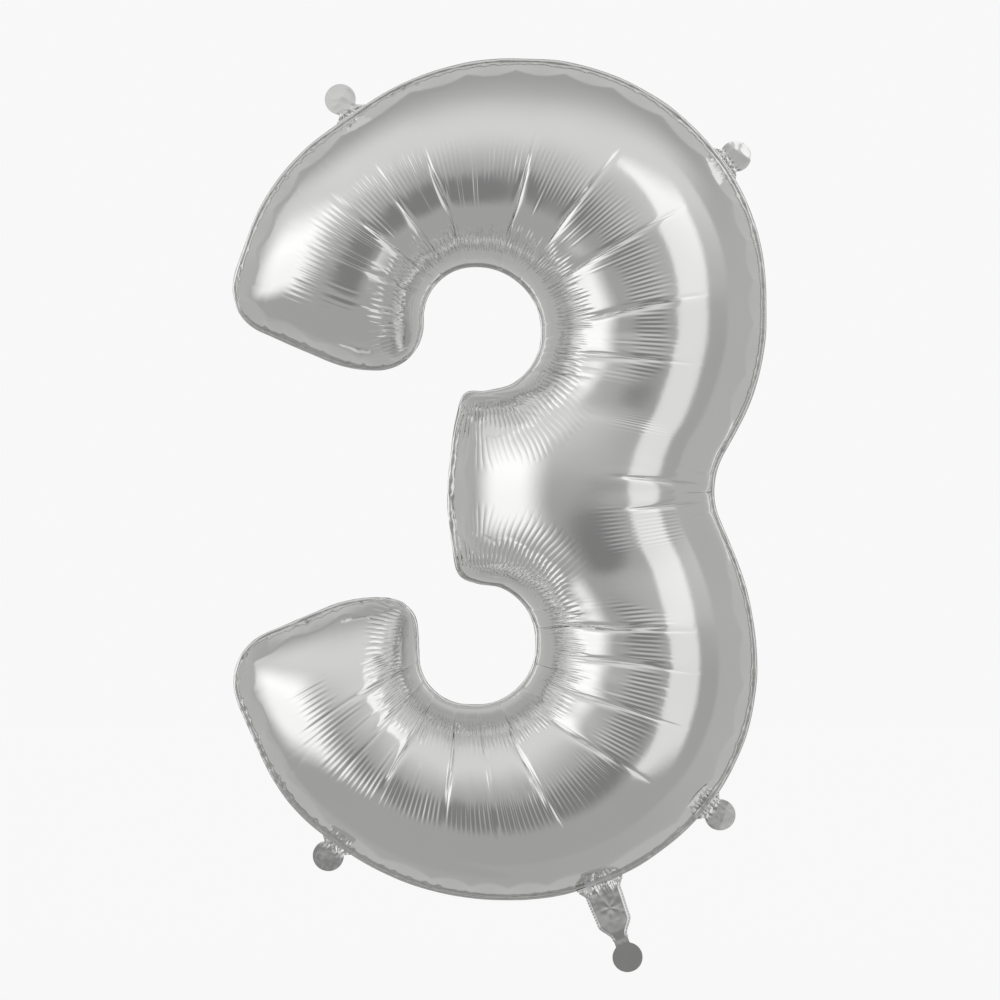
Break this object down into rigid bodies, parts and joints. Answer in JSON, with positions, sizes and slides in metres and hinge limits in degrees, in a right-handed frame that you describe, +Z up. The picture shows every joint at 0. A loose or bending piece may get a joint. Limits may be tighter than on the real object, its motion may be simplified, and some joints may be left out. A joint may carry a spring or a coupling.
{
  "type": "foil number balloon",
  "caption": "Inflated film balloon in the shape of a numeral, with fused edge, hanging tabs that fold, and a flat filling tail with a one-way valve.",
  "frame": {"origin": "centre of the bounding box: the figure, its tabs and its tail", "axes": "+Z up the standing figure, +X to the right seen from the front, the front faces -Y"},
  "size_m": [0.5493, 0.204, 0.9402],
  "materials": {
    "silver_film": "mirror-bright metallised film with fine creases",
    "fused_film": "metallised film, heat-fused and slightly dull",
    "valve_film": "clear soft film",
    "valve_coat": "printed heat-resistant patch"
  },
  "bodies": {
    "envelope": {"front_foil": "silver_film", "back_foil": "silver_film", "perimeter_seam": "fused_film", "valve_front_film": "valve_film", "valve_back_film": "valve_film", "valve_release_coat": "valve_coat"},
    "upper_left_tab": {"hang_tab_upper_left": "silver_film"},
    "upper_right_tab": {"hang_tab_upper_right": "silver_film"},
    "lower_left_tab": {"hang_tab_lower_left": "silver_film"},
    "lower_right_tab": {"hang_tab_lower_right": "silver_film"},
    "tail": {"tail_front_foil": "silver_film", "tail_back_foil": "silver_film", "tail_side_welds": "fused_film"},
    "tail_end": {"tail_end_tab": "silver_film"}
  },
  "joints": [
    {"name": "upper_left_tab_fold", "type": "hinge", "parent": "envelope", "child": "upper_left_tab", "pos_m": [-0.15299, 0, 0.41364], "axis": [0.8176, 0, 0.5757], "range_deg": [-80, 80], "stiffness_Nm_per_rad": 0.0005},
    {"name": "upper_right_tab_fold", "type": "hinge", "parent": "envelope", "child": "upper_right_tab", "pos_m": [0.23242, 0, 0.36328], "axis": [0.57, 0, -0.8216], "range_deg": [-80, 80], "stiffness_Nm_per_rad": 0.0005},
    {"name": "lower_left_tab_fold", "type": "hinge", "parent": "envelope", "child": "lower_left_tab", "pos_m": [-0.16801, 0, -0.33806], "axis": [-0.8029, 0, 0.5961], "range_deg": [-80, 80], "stiffness_Nm_per_rad": 0.0005},
    {"name": "lower_right_tab_fold", "type": "hinge", "parent": "envelope", "child": "lower_right_tab", "pos_m": [0.21536, 0, -0.29785], "axis": [-0.6222, 0, -0.7828], "range_deg": [-80, 80], "stiffness_Nm_per_rad": 0.0005},
    {"name": "tail_fold", "type": "hinge", "parent": "envelope", "child": "tail", "pos_m": [0.10357, 0, -0.3786], "axis": [-0.9362, 0, -0.3516], "range_deg": [-75, 75], "stiffness_Nm_per_rad": 0.002},
    {"name": "tail_end_fold", "type": "hinge", "parent": "tail", "child": "tail_end", "pos_m": [0.12502, 0, -0.43571], "axis": [-0.9362, 0, -0.3516], "range_deg": [-90, 90], "stiffness_Nm_per_rad": 0.0005}
  ]
}
